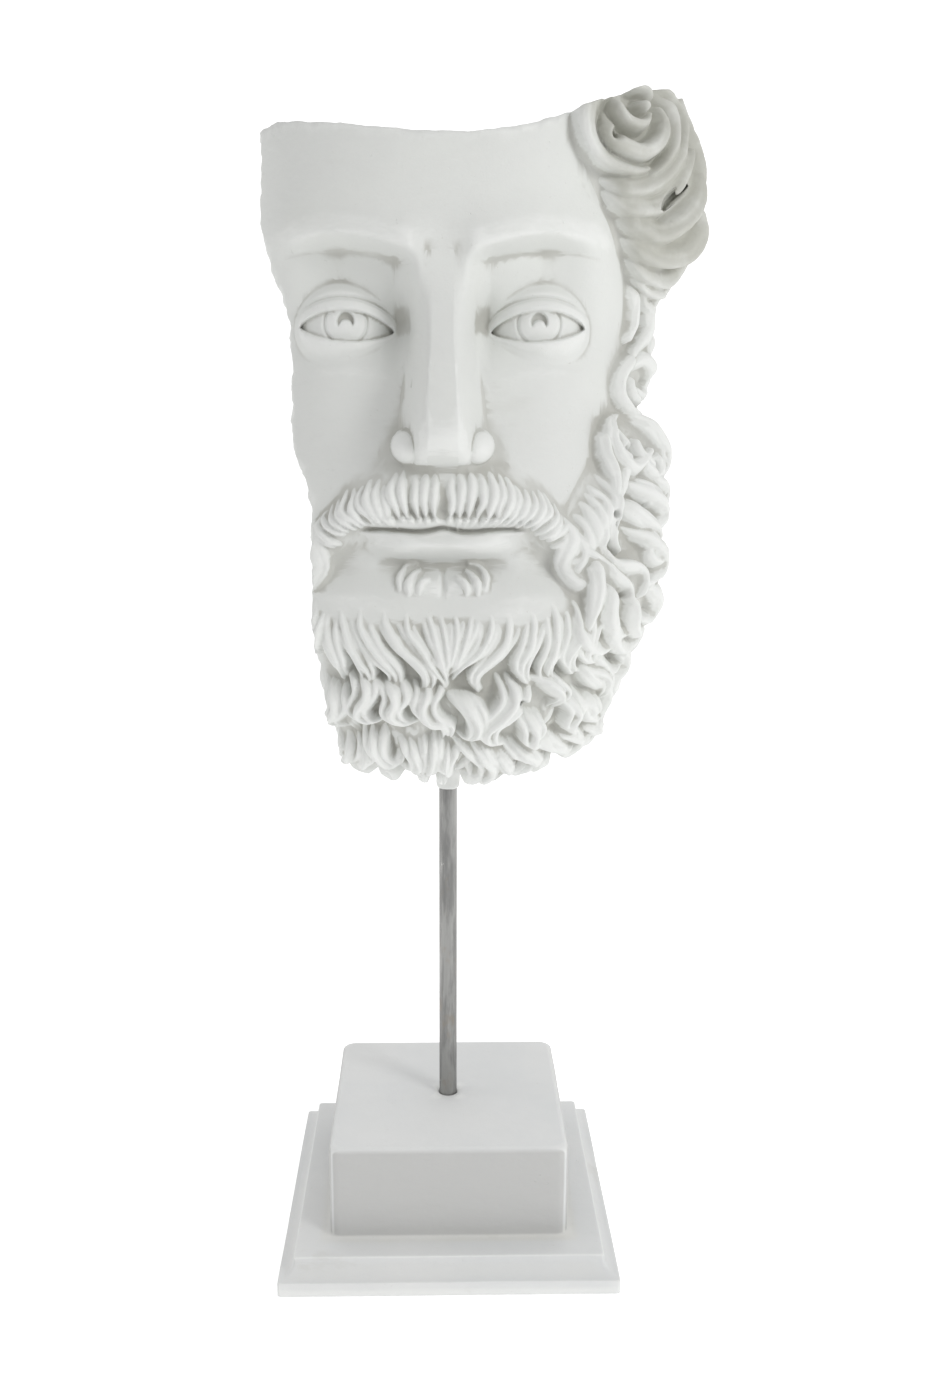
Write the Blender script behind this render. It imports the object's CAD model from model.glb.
import math

import bmesh
import bpy
import numpy as np
from mathutils import Euler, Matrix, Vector, kdtree
from mathutils.noise import noise_vector, seed_set


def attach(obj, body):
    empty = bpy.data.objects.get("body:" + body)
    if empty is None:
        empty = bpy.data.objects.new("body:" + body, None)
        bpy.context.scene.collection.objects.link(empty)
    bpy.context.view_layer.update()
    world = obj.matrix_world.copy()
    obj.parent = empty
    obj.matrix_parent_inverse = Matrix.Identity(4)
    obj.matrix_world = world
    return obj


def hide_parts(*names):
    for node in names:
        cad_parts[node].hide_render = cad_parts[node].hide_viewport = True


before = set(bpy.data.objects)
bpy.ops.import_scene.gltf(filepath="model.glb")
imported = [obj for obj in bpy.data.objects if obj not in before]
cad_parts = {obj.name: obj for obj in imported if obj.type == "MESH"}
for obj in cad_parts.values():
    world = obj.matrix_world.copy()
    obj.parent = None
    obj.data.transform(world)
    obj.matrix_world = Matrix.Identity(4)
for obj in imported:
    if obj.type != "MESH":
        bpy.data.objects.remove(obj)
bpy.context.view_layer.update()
print("frame loaded")

mm = 0.001
scene = bpy.context.scene


# Small helpers

def mix(a, b, t):
    return a + (b - a) * t


def rise(start, end, x):
    # a smooth step from 0 at start to 1 at end, and start may be the larger
    t = np.clip((x - start) / (end - start), 0, 1)
    return t * t * (3 - 2 * t)


def bell(x, centre, width):
    return np.exp(-((x - centre) / width) ** 2)


def smoothMax(a, b, blend):
    h = np.clip(blend - np.abs(a - b), 0, None) / blend
    return np.maximum(a, b) + h * h * blend / 4


def through(landmarks):
    # a smooth curve through pairs of a height and a value, from the top down
    heights, values = np.array(landmarks, float)[::-1].T
    slopes = np.gradient(values, heights)

    def curve(z):
        i = np.clip(np.searchsorted(heights, z) - 1, 0, len(heights) - 2)
        span = heights[i + 1] - heights[i]
        t = np.clip((z - heights[i]) / span, 0, 1)
        start = values[i] * (1 + 2 * t) * (1 - t) ** 2 + slopes[i] * span * t * (1 - t) ** 2
        return start + values[i + 1] * t * t * (3 - 2 * t) + slopes[i + 1] * span * t * t * (t - 1)

    return curve


def linked(name, data):
    piece = bpy.data.objects.new(name, data)
    scene.collection.objects.link(piece)
    return piece


def meshFrom(name, points, faces, edges=()):
    mesh = bpy.data.meshes.new(name)
    mesh.from_pydata(np.asarray(points) * mm, edges, faces)
    return linked(name, mesh)


def tubeFaces(rows, columns):
    # the faces of a closed tube whose points lie in rows round it, with a cap at each end
    grid = np.arange(rows * columns).reshape(rows, columns)
    wrapped = np.concatenate([grid, grid[:, :1]], 1)
    quads = np.stack([wrapped[:-1, :-1], wrapped[:-1, 1:], wrapped[1:, 1:], wrapped[1:, :-1]], -1)
    return quads.reshape(-1, 4).tolist() + [grid[0][::-1].tolist(), grid[-1].tolist()]


# Nodes: an input that is given a socket is linked to it, and any other value is set

def feed(tree, node, inputs):
    for key, value in inputs.items():
        if isinstance(value, bpy.types.NodeSocket):
            tree.links.new(value, node.inputs[key])
        elif value is not None:
            node.inputs[key].default_value = value


def wiring(tree):
    def add(kind, *values, inputs=None, **settings):
        node = tree.nodes.new(kind)
        for key, value in settings.items():
            setattr(node, key, value)
        feed(tree, node, inputs or dict(enumerate(values)))
        return node.outputs

    def maths(operation, *values):
        return add("ShaderNodeMath", *values, operation=operation)[0]

    def between(value, low, high, start=0.0, end=1.0):
        # a smooth ramp from start, where the value is low, to end, where it is high
        inputs = {"Value": value, "From Min": low, "From Max": high, "To Min": start, "To Max": end}
        return add("ShaderNodeMapRange", inputs=inputs, interpolation_type="SMOOTHSTEP")[0]

    return add, maths, between


# Materials

def materialKit(name):
    material = bpy.data.materials.new(name)
    material.use_nodes = True
    tree = material.node_tree
    add, maths, between = wiring(tree)
    place = add("ShaderNodeTexCoord")["Object"]

    def times(a, b):
        return maths("MULTIPLY", a, b)

    def cloud(scale, detail, roughness=0.5, stretch=(1, 1, 1)):
        at = add("ShaderNodeMapping", inputs={"Vector": place, "Scale": stretch})[0]
        inputs = {"Vector": at, "Scale": scale, "Detail": detail, "Roughness": roughness}
        return add("ShaderNodeTexNoise", inputs=inputs)[0]

    def patches(texture, start=0.0, end=1.0):
        # a cloud of noise, then the noise levels where its patches start and are full
        *noise, low, high = texture
        return between(cloud(*noise), low, high, start, end)

    def blend(share, a, b):
        return add("ShaderNodeMix", inputs={0: share, 6: a, 7: b}, data_type="RGBA")[2]

    def finish(colour, roughness, metallic, height, distance):
        bump = add("ShaderNodeBump", inputs={"Strength": 1.0, "Distance": distance * mm, "Height": height})[0]
        feed(tree, tree.nodes["Principled BSDF"], {
            "Base Color": colour, "Roughness": roughness, "Metallic": metallic, "Normal": bump,
        })
        return material

    return place, add, cloud, patches, between, maths, times, blend, finish


# the textures are noise scale, detail, roughness and stretch, then the levels where they start and are full
evenly = (1, 1, 1)
castLook = {
    "colour": (0.745, 0.757, 0.732, 1),
    "shade": (0.72, 0.73, 0.71, 1),
    "mottle": (13, 4, 0.5, evenly, 0.36, 0.64),
    "stain": (0.45, 0.445, 0.405, 1),
    "stainShare": 0.8,
    "stainPatches": (34, 3, 0.5, evenly, 0.36, 0.62),
    "stainDepth": (0.1, 0.9),
    "ridge": (0.83, 0.838, 0.82, 1),
    "ridgeShare": 0.6,
    "ridgeHeight": (-0.15, -0.8),
    "patina": (0.47, 0.47, 0.42, 1),
    "patinaShare": 0.9,
    "patinaPatches": (60, 4, 0.5, evenly, 0.3, 0.6),
    "patinaSlope": 0.4,
    "patinaSide": (0.3, 0.312),
    "patinaHeight": (0.505, 0.54),
    "dirt": (0.55, 0.54, 0.5, 1),
    "scuffShare": 0.12,
    "scuffs": (55, 5, 0.65, (0.35, 0.35, 1), 0.6, 0.72),
    "speckShare": 0.25,
    "specks": (520, 2, 0.6, evenly, 0.7, 0.76),
    "roughness": (0.7, 0.88),
    "sheen": (90, 3, 0.5, evenly, 0.3, 0.7),
    "bump": 0.5,
    "pitScale": 300.0,
    "pitEdge": (0.06, 0.16),
    "pitDepth": 0.3,
    "dents": (45, 2, 0.5, evenly, 0.66, 0.6),
    # the surface's own noise: scale, detail, squash and height
    "grain": [(1400, 2, 1, 0.12), (240, 3, 1, 0.35), (70, 3, 2.5, 0.9)],
    "handled": 0.0,
}
plinthLook = dict(castLook, **{
    "colour": (0.72, 0.725, 0.72, 1),
    "shade": (0.69, 0.70, 0.70, 1),
    "stain": (0.7, 0.68, 0.6, 1),
    "stainShare": 0.35,
    "patinaShare": 0.0,
    "scuffShare": 0.25,
    "handled": 0.9,
    "handledColour": (0.52, 0.52, 0.51, 1),
    # the block's sides, by distance from the middle and by height in metres: start, full, fading, end
    "handledReach": (0.0633, 0.0642, 0.0658, 0.0668),
    "handledHeight": (0.0186, 0.0202, 0.0675, 0.0705),
})
steelLook = {
    "colour": (0.36, 0.36, 0.35, 1),
    "scale": (0.24, 0.24, 0.235, 1),
    "scaled": (110, 5, 0.6, (1, 1, 0.16), 0.42, 0.58),
    "rust": (0.3, 0.25, 0.19, 1),
    "rustShare": 0.5,
    "rusty": (60, 4, 0.6, (1, 1, 0.5), 0.55, 0.68),
    "plaster": (0.68, 0.68, 0.66, 1),
    "smearTop": (0.247, 0.262),
    "smearEdge": (150, 4, 0.6, (1, 1, 0.5)),
    "smearLevels": (0.68, 0.76),
    "roughness": (0.3, 0.5),
    "scratches": (900, 2, 0.5, (1, 1, 0.03)),
    "scratchLevels": (0.3, 0.7),
    "metallic": 0.95,
    "bump": 0.12,
}


def plasterMaterial(name, look):
    place, add, cloud, patches, between, maths, times, blend, finish = materialKit(name)

    def within(value, start, full, fading, end):
        return times(between(value, start, full), between(value, end, fading))

    recess = add("ShaderNodeAttribute", attribute_name="recess")["Fac"]
    colour = blend(patches(look["mottle"]), look["colour"], look["shade"])
    stained = times(between(recess, *look["stainDepth"]), patches(look["stainPatches"], 0.6, 1.0))
    colour = blend(times(stained, look["stainShare"]), colour, look["stain"])
    rubbed = times(between(recess, *look["ridgeHeight"]), look["ridgeShare"])
    colour = blend(rubbed, colour, look["ridge"])
    scuffs = times(patches(look["scuffs"]), look["scuffShare"])
    specks = times(patches(look["specks"]), look["speckShare"])
    colour = blend(maths("MAXIMUM", scuffs, specks), colour, look["dirt"])
    x, y, z = add("ShaderNodeSeparateXYZ", place)
    if look["patinaShare"]:
        pastHairline = between(maths("ADD", x, times(z, look["patinaSlope"])), *look["patinaSide"])
        inHair = times(pastHairline, add("ShaderNodeAttribute", attribute_name="inHair")["Fac"])
        inHair = times(inHair, between(z, *look["patinaHeight"], 0.0, look["patinaShare"]))
        colour = blend(times(inHair, patches(look["patinaPatches"], 0.6, 1.0)), colour, look["patina"])
    if look["handled"]:
        fromMiddle = maths("MAXIMUM", maths("ABSOLUTE", x), maths("ABSOLUTE", y))
        onSide = times(within(fromMiddle, *look["handledReach"]), within(z, *look["handledHeight"]))
        colour = blend(times(onSide, look["handled"]), colour, look["handledColour"])
    cells = add("ShaderNodeTexVoronoi", inputs={"Vector": place, "Scale": look["pitScale"]})["Distance"]
    pits = maths("MAXIMUM", between(cells, *look["pitEdge"]), patches(look["dents"]))
    height = times(pits, look["pitDepth"])
    for scale, detail, squash, share in look["grain"]:
        height = maths("ADD", height, times(cloud(scale, detail, 0.5, (1, 1, squash)), share))
    roughness = patches(look["sheen"], *look["roughness"])
    return finish(colour, roughness, 0.0, height, look["bump"])


def steelMaterial(name, look):
    place, add, cloud, patches, between, maths, times, blend, finish = materialKit(name)
    z = add("ShaderNodeSeparateXYZ", place)["Z"]
    scaled = patches(look["scaled"])
    colour = blend(scaled, look["colour"], look["scale"])
    colour = blend(times(patches(look["rusty"]), look["rustShare"]), colour, look["rust"])
    end = between(z, *look["smearTop"])
    smear = between(maths("ADD", cloud(*look["smearEdge"]), times(end, 0.3)), *look["smearLevels"])
    colour = blend(smear, colour, look["plaster"])
    scratches = cloud(*look["scratches"])
    height = maths("ADD", times(scratches, 0.3), times(scaled, 0.3))
    height = maths("ADD", height, smear)
    roughness = between(scratches, *look["scratchLevels"], *look["roughness"])
    roughness = maths("ADD", roughness, times(smear, 0.4))
    metallic = maths("SUBTRACT", look["metallic"], times(smear, look["metallic"]))
    return finish(colour, roughness, metallic, height, look["bump"])


plaster = plasterMaterial("castPlaster", castLook)
plinthPlaster = plasterMaterial("plinthPlaster", plinthLook)
steel = steelMaterial("rodSteel", steelLook)


# Camera

camera = {
    "place": (-5.4, -734.7, 461.3),
    "pitch": 12.095,
    "turn": 1.209,
    "roll": 0.166,
    "lens": 35.22,
    "sensorWidth": 36,
    "sight": 50,
}


def addCamera():
    data = bpy.data.cameras.new("camera")
    data.lens = camera["lens"]
    data.sensor_width = camera["sensorWidth"]
    data.sensor_fit = "AUTO"
    data.clip_end = camera["sight"]
    view = linked("camera", data)
    view.location = Vector(camera["place"]) * mm
    pitch, turn, roll = (math.radians(camera[name]) for name in ("pitch", "turn", "roll"))
    look = Euler((math.pi / 2 - pitch, 0, -turn)).to_matrix()
    roll = Euler((0, 0, roll)).to_matrix()
    view.rotation_euler = (look @ roll).to_euler()
    scene.camera = view


addCamera()


# The head's form, in millimetres, with the face in thirds of the height from hairline to chin

head = {
    "third": 95,
    "browHeight": 530,
    "midX": -3,
    "backY": 45.5,
    "halfWidth": 101,
    "depth": 96,
    "beardTip": 268,
    "top": 632,
    "tipY": 4,
    "jawRounding": 120,
    "tipRounding": 60,
    "jawPower": 2.6,
    "tipPower": 2.3,
    "planPowers": (2.6, 2.3),
    "perDegree": 1.78,
    "gridColumns": 640,
    "gridRows": (440, 190),
    "gridChange": 520,
}

# heights from the brow and depths, both in thirds
midProfile = through([
    [1.1, -0.16],
    [0.6, -0.05],
    [0, 0],
    [-0.35, -0.1],
    [-0.75, -0.08],
    [-1.05, 0.05],
    [-1.33, 0.1],
    [-1.56, 0.03],
    [-1.8, 0.14],
    [-2.15, 0.2],
    [-2.9, 0.08],
])
noseProfile = through([
    [0.2, 0.0],
    [-0.12, 0.0],
    [-0.5, 0.16],
    [-0.8, 0.335],
    [-0.88, 0.35],
    [-0.95, 0.29],
    [-1.02, 0.1],
])
# heights in thirds, with the turn where the hair starts, in degrees, and how far it stands out, in mm
hairEdge = through([
    [0.76, 38],
    [0.6, 38],
    [0.46, 42],
    [0.32, 48],
    [0.16, 55],
    [0.04, 62],
    [-0.05, 68],
    [-0.23, 72],
    [-0.44, 66],
    [-0.61, 58],
    [-0.82, 52],
    [-1.04, 43],
    [-1.2, 36],
    [-1.37, 32],
    [-1.48, 32],
])
hairBulk = through([
    [1.07, 9],
    [0.82, 19],
    [0.65, 27],
    [0.5, 34],
    [0.35, 34],
    [0.15, 31],
    [0.05, 22],
    [-0.06, 12],
    [-0.27, 9],
    [-0.5, 9],
    [-0.68, 5],
    [-0.78, 9],
    [-0.9, 15],
    [-1.22, 16],
    [-1.53, 18],
    [-1.78, 15],
    [-1.95, 9],
    [-2.1, 4],
    [-2.3, 5],
    [-2.6, 12],
])

eye = {
    "centreX": 0.505,
    "centreZ": -0.33,
    "ballDepth": 0.44,
    "ballRadius": 0.26,
    "lid": 0.03,
    "halfWidth": 0.25,
    "above": 0.1,
    "below": 0.068,
    "slant": 0.012,
    "foldUp": 0.062,
    "foldWidth": 0.014,
    "foldDepth": 0.02,
    "gazeUp": 0.03,
    "irisRadius": 0.112,
    "irisLine": 0.0085,
    "groove": 0.012,
    "pupilUp": 0.012,
    "pupilEdge": (0.05, 0.036),
    "pupilDepth": 0.03,
    "catchLightDown": 0.02,
    "catchLightEdge": (0.03, 0.042),
}


def ballDepth(radius, fromCentre):
    return np.sqrt(np.clip(radius ** 2 - fromCentre, 0, None)) - eye["ballDepth"]


def eyeForm(side, z, socket):
    beside = side - eye["centreX"]
    across = beside / eye["halfWidth"]
    opening = np.clip(1 - across * across, 0, 1) ** 0.7
    tilt = eye["centreZ"] + eye["slant"] * across
    fromCentre = beside ** 2 + (z - eye["centreZ"]) ** 2
    ball = ballDepth(eye["ballRadius"], fromCentre)
    lid = ballDepth(eye["ballRadius"] + eye["lid"], fromCentre)
    upper = tilt + eye["above"] * opening
    lower = tilt - eye["below"] * opening
    inside = rise(-0.004, 0.012, upper - z) * rise(-0.004, 0.012, z - lower)
    inside = inside * rise(1.04, 0.96, np.abs(across))
    fold = bell(z, upper + eye["foldUp"], eye["foldWidth"]) * rise(1.15, 0.7, np.abs(across))
    skin = smoothMax(socket, lid, 0.035) - eye["foldDepth"] * fold

    gaze = eye["centreZ"] + eye["gazeUp"]
    ring = bell(np.sqrt(beside ** 2 + (z - gaze) ** 2), eye["irisRadius"], eye["irisLine"])
    pupil = rise(*eye["pupilEdge"], np.hypot(beside, z - gaze - eye["pupilUp"]))
    catchLight = rise(*eye["catchLightEdge"], np.hypot(beside, z - gaze + eye["catchLightDown"]))
    ball = ball - eye["groove"] * ring - eye["pupilDepth"] * pupil * catchLight
    near = rise(0.36, 0.31, np.sqrt(fromCentre))
    return mix(socket, mix(skin, ball, inside), near)


face = {
    "browHeight": 0.03,
    "browArch": 0.1,
    "browSwell": 0.04,
    "socketDepth": 0.16,
    # how far it stands out, its place and width to the side, its height and width upwards
    "eyeCorner": (-0.08, 0.2, 0.075, -0.27, 0.13),
    "cheek": (0.05, 0.62, 0.25, -0.72, 0.22),
    "noseBulb": (0.02, 0, 0.11, -0.84, 0.07),
    # half widths at the bridge and at the tip
    "noseRidge": (0.05, 0.07),
    "noseFoot": (0.18, 0.235),
    "wingSide": 0.175,
    "wingHeight": -0.925,
    "wingRadius": 0.095,
    "wingDepth": 0.21,
    "moustache": 0.06,
    "mouthHeight": -1.345,
    "mouthLine": 0.05,
    # how far it stands out, its height and width upwards, and the sides where it ends and is full
    "lowerLip": (0.075, -1.43, 0.06, 0.42, 0.16),
    "upperLip": (0.045, -1.3, 0.035, 0.42, 0.2),
    "underLip": (-0.04, -1.54, 0.05, 0.4, 0.2),
    "tuft": (0.035, -1.63, 0.045, 0.25, 0.15),
}


def moustacheHeight(side):
    return -1.1 - 0.16 * rise(0.1, 0.5, side) - 0.3 * rise(0.42, 0.74, side)


def swell(side, z, out, middle, width, height, tall):
    return out * bell(side, middle, width) * bell(z, height, tall)


def band(side, z, out, height, tall, end, full):
    return out * bell(z, height, tall) * rise(end, full, side)


def carvedFace(x, z, plain):
    # how far the face stands out from the plain head, with x, z and the depths in thirds
    side = np.abs(x)
    brow = face["browHeight"] + face["browArch"] * np.sin(math.pi * np.clip((side - 0.1) / 0.95, 0, 1))
    below = brow - z
    depth = face["browSwell"] * bell(z, brow + 0.05, 0.11) * rise(1.05, 0.75, side) * rise(0, 0.2, side)
    socket = rise(-0.015, 0.08, below) * rise(0.7, 0.34, below)
    depth = depth - face["socketDepth"] * socket * rise(0.1, 0.26, side) * rise(0.9, 0.5, side)
    depth = depth + swell(side, z, *face["eyeCorner"])
    depth = depth + swell(side, z, *face["cheek"])
    depth = eyeForm(side, z, depth + plain) - plain

    lowness = rise(-0.3, -0.85, z)
    ridge = mix(*face["noseRidge"], lowness)
    foot = mix(*face["noseFoot"], lowness)
    onNose = rise(foot, ridge, side) * rise(0.16, 0.04, z) * rise(-1.06, -1.0, z)
    depth = mix(depth, noseProfile(z) + swell(side, z, *face["noseBulb"]) - plain, onNose)
    away = (side - face["wingSide"]) ** 2 + (z - face["wingHeight"]) ** 2
    away = away / face["wingRadius"] ** 2
    wing = -0.02 + face["wingDepth"] * np.sqrt(np.clip(1 - away, 0, None)) - plain
    depth = np.where(away < 1, smoothMax(depth, wing, 0.02), depth)

    depth = depth + face["moustache"] * bell(z, moustacheHeight(side), 0.12) * rise(0.78, 0.66, side)
    bow = face["mouthHeight"] + 0.012 * bell(side, 0.0, 0.05) - 0.01 * bell(side, 0.14, 0.08)
    depth = depth + band(side, z, *face["lowerLip"])
    depth = depth + band(side, z, *face["upperLip"])
    depth = depth - face["mouthLine"] * bell(z, bow, 0.014) * rise(0.45, 0.36, side)
    depth = depth + band(side, z, *face["underLip"])
    return depth + band(side, z, *face["tuft"]) * rise(0.004, 0.03, side)


def hairDepth(turn, z):
    # how far the mass of hair and beard stands out; its brim is thin on the jaw and thick at the temple
    edge = hairEdge(z) + 2
    brim = mix(mix(4, 2, rise(-1.1, -0.7, z)), 9, rise(-0.2, 0.1, z)) * rise(-2.3, -1.6, z)
    thick = mix(brim, np.maximum(hairBulk(z), brim), rise(edge + 6, 84, turn))
    beardMass = 6 * rise(-1.48, -1.72, z) - 10 * rise(-1.8, -2.1, z)
    return rise(edge, edge + 10, turn) * thick + beardMass * rise(75, 55, turn)


def roundedEnd(t, power):
    return (1 - (1 - np.clip(t, 0, 1)) ** power) ** (1 / power)


def skinPoint(turn, height):
    # a point of the skin, by the turn in degrees from the face's middle and the height
    turn, height = np.broadcast_arrays(np.asarray(turn, float), np.asarray(height, float))
    up = height - head["beardTip"]
    acrossScale = roundedEnd(up / head["jawRounding"], head["jawPower"])
    depthScale = roundedEnd(up / head["tipRounding"], head["tipPower"])
    back = mix(head["tipY"], head["backY"], depthScale)
    z = (height - head["browHeight"]) / head["third"]
    s = np.sin(np.radians(turn))
    c = np.cos(np.radians(turn))
    power = mix(*head["planPowers"], rise(-1.6, -1.2, z))
    curve = (1 - np.minimum(np.abs(s) ** power, 1)) ** (1 / power)
    middle = midProfile(z) * head["third"] * depthScale
    x = head["halfWidth"] * acrossScale * s
    plain = (head["depth"] * (curve - 1) + middle * curve) / head["third"]
    faceFade = rise(88, 70, np.abs(turn)) * rise(-1.9, -1.6, z)
    face = carvedFace(x / head["third"], z, plain) * head["third"] * faceFade
    out = hairDepth(turn, z) * np.minimum(depthScale * 1.2, 1)
    y = back - (head["depth"] * depthScale + middle) * curve - face - out * c
    return np.stack([head["midX"] + x + out * s, y, height], -1)


def skinNormal(turn, height, reach=8.0):
    height = np.maximum(height, head["beardTip"] + reach + 1)
    aside = reach / head["perDegree"]
    across = skinPoint(turn + aside, height) - skinPoint(turn - aside, height)
    upward = skinPoint(turn, height + reach) - skinPoint(turn, height - reach)
    normal = np.cross(across, upward)
    return normal / np.linalg.norm(normal, axis=-1, keepdims=True)


scatter = np.random.default_rng(7)
# without a seed of its own, noise_vector follows the clock
seed_set(7)


def vary(share):
    return scatter.uniform(1 - share, 1 + share)


# Locks: each is a line over the skin, and the node tree raises a strip of grooved hair along it

def spline(knots, steps=8):
    knots = np.array([knots[0]] + list(knots) + [knots[-1]], float)
    t = np.linspace(0, 1, steps, endpoint=False)[:, None]
    runs = []
    for p0, p1, p2, p3 in zip(knots[:-3], knots[1:-2], knots[2:-1], knots[3:]):
        bend = (2 * p0 - 5 * p1 + 4 * p2 - p3) * t ** 2 + (3 * p1 - p0 - 3 * p2 + p3) * t ** 3
        runs.append(p1 + 0.5 * ((p2 - p0) * t + bend))
    return np.concatenate(runs + [knots[-1:]])


def resampled(line, count):
    steps = np.linalg.norm(np.diff(line, axis=0), axis=1)
    along = np.concatenate([[0], np.cumsum(steps)])
    at = np.linspace(0, along[-1], count)
    return np.column_stack([np.interp(at, along, column) for column in line.T])


def turnSeen(x, height):
    # the turn at which the hair stands, seen from the front, x millimetres to the side
    turns = np.linspace(-89, 89, 179)
    seen = skinPoint(turns[None, :], height[:, None])[..., 0]
    seen = seen + 0.35 * np.clip(np.abs(turns) - 55, 0, None) * np.sign(turns)
    return np.array([np.interp(at, row, turns) for at, row in zip(x, seen)])


lockStep = 0.7


def layOver(turns, heights, width, thick, lift=0, sink=-3, climb=0.35, root=0.5, tip=0.3, bank=0,
            strands=4, groove=1.2, taper=0.5, fade=0.05, dive=0):
    # a lock along a line of turns and heights, in millimetres: thick is how far its middle stands over its
    # edges, which go from sink to lift over the first share, climb; root and tip are shares of its size,
    # bank tilts it in its bends, and strands and groove are its combing, which starts over the share fade
    heights = np.clip(heights, head["beardTip"] + 1, head["top"] - 1)
    length = np.linalg.norm(np.diff(skinPoint(turns, heights), axis=0), axis=1).sum()
    turns, heights = resampled(np.column_stack([turns, heights]), max(int(length / lockStep), 8)).T
    t = np.linspace(0, 1, len(turns))
    points = skinPoint(turns, heights)
    outward = skinNormal(turns, heights)
    along = np.gradient(points, axis=0)
    along /= np.linalg.norm(along, axis=1, keepdims=True)
    heading = np.unwrap(np.arctan2(np.gradient(turns * head["perDegree"]), -np.gradient(heights)))
    bend = np.convolve(np.pad(np.gradient(heading) / lockStep, 6, "edge"), np.ones(13) / 13, "valid")
    size = mix(root, 1, rise(0, 0.3, t)) * mix(1, tip, rise(taper, 1, t) ** 1.4)
    size = size * roundedEnd(t / 0.06, 2) * roundedEnd((1 - t) / 0.08, 2)
    return {
        "spine": points * mm,
        "outward": outward,
        "aside": np.cross(along, outward),
        "halfWidth": 0.5 * width * size * mm,
        "thick": thick * size ** 0.7 * mm,
        "lift": (mix(sink, lift, rise(0, climb, t)) - dive * rise(0.8, 1, t)) * mm,
        "tilt": np.clip(bank * bend, -0.5, 0.5),
        "strands": np.full(len(t), float(strands)),
        "groove": groove * size * rise(0, fade, t) * mm,
        "phase": np.full(len(t), scatter.uniform(0, 1)),
        "share": t,
    }


def drawnLock(knots, width, thick, side=1, middle=0.0, loose=0.8, **shape):
    # a lock whose line is drawn as seen from the front
    knots = [(middle + side * x + scatter.normal(0, loose), z + scatter.normal(0, loose)) for x, z in knots]
    line = resampled(spline(knots), 40)
    line[2:-2] = (line[:-4] + line[1:-3] + line[2:-2] + line[3:-1] + line[4:]) / 5
    return layOver(turnSeen(line[:, 0], line[:, 1]), line[:, 1], width, thick, **shape)


def waveLock(turn, height, length, aim=0, wave=30, waves=1.0, phase=0.0, hook=0, spin=0, slow=0.0,
             width=14, thick=5, **shape):
    # a lock that snakes down; angles are degrees from straight down, positive towards larger turns
    t = np.linspace(0, 1, 50)
    heading = aim + wave * np.sin(2 * math.pi * (waves * t + phase)) + hook * rise(0.6, 1.0, t) + spin * t
    heading = np.radians(heading)
    pace = (length / len(t)) * (1 - slow * t)
    sideways = np.concatenate([[0], np.cumsum(pace * np.sin(heading))[:-1]])
    down = np.concatenate([[0], np.cumsum(pace * np.cos(heading))[:-1]])
    return layOver(turn + sideways / head["perDegree"], height - down, width, thick, **shape)


def curl(turn, height, radius, hand, width, thick, start=110, sweep=520, tight=0.14, **shape):
    t = np.linspace(0, 1, 60)
    angle = np.radians(start + hand * sweep * t)
    reach = radius * mix(0.85, tight, t ** 0.9)
    turns = turn + reach * np.cos(angle) / head["perDegree"]
    return layOver(turns, height + reach * np.sin(angle), width, thick, **shape)


def drilled(points, holes):
    # round holes bored between the locks
    deep = np.zeros(points.shape[:2])
    for x, z, radius in holes:
        turn = turnSeen(np.array([float(x)]), np.array([float(z)]))[0]
        away = np.linalg.norm(points - skinPoint(turn, z), axis=-1)
        deep = np.maximum(deep, np.exp(-(away / radius) ** 2.5))
    return deep


# Node trees

def newTree(name, guide, values):
    # a tree with sockets for the mesh, a guide object, the values and a material
    tree = bpy.data.node_groups.new(name, "GeometryNodeTree")
    sockets = [("Geometry", "Geometry", None), (guide, "Object", None)]
    for label, value in values.items():
        sockets.append((label, "Int" if isinstance(value, int) else "Float", value))
    for label, kind, value in sockets + [("Material", "Material", None)]:
        socket = tree.interface.new_socket(label, in_out="INPUT", socket_type="NodeSocket" + kind)
        if value is not None:
            socket.default_value = value
    tree.interface.new_socket("Geometry", in_out="OUTPUT", socket_type="NodeSocketGeometry")
    return tree


def treeKit(tree):
    add, maths, _ = wiring(tree)

    def vector(operation, *values):
        return add("ShaderNodeVectorMath", *values, operation=operation)[0]

    def scaled(direction, length):
        return vector("SCALE", direction, None, None, length)

    def named(name, kind="FLOAT"):
        return add("GeometryNodeInputNamedAttribute", name, data_type=kind)[0]

    return add("NodeGroupInput"), add, maths, vector, scaled, named


carving = {
    "Points across": 33,
    "Relief": 1.0,
    "Reach": 0.03,
    "Softening": 1,
    "Flank": 1.4,
    "Drift": 0.18,
    "Bore depth": 0.005,
    "Wear": 0.0018,
    "Wear scale": 110.0,
    "Cliff width": 3,
    "Cliff gain": 900.0,
    "Easing": 4,
}


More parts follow.
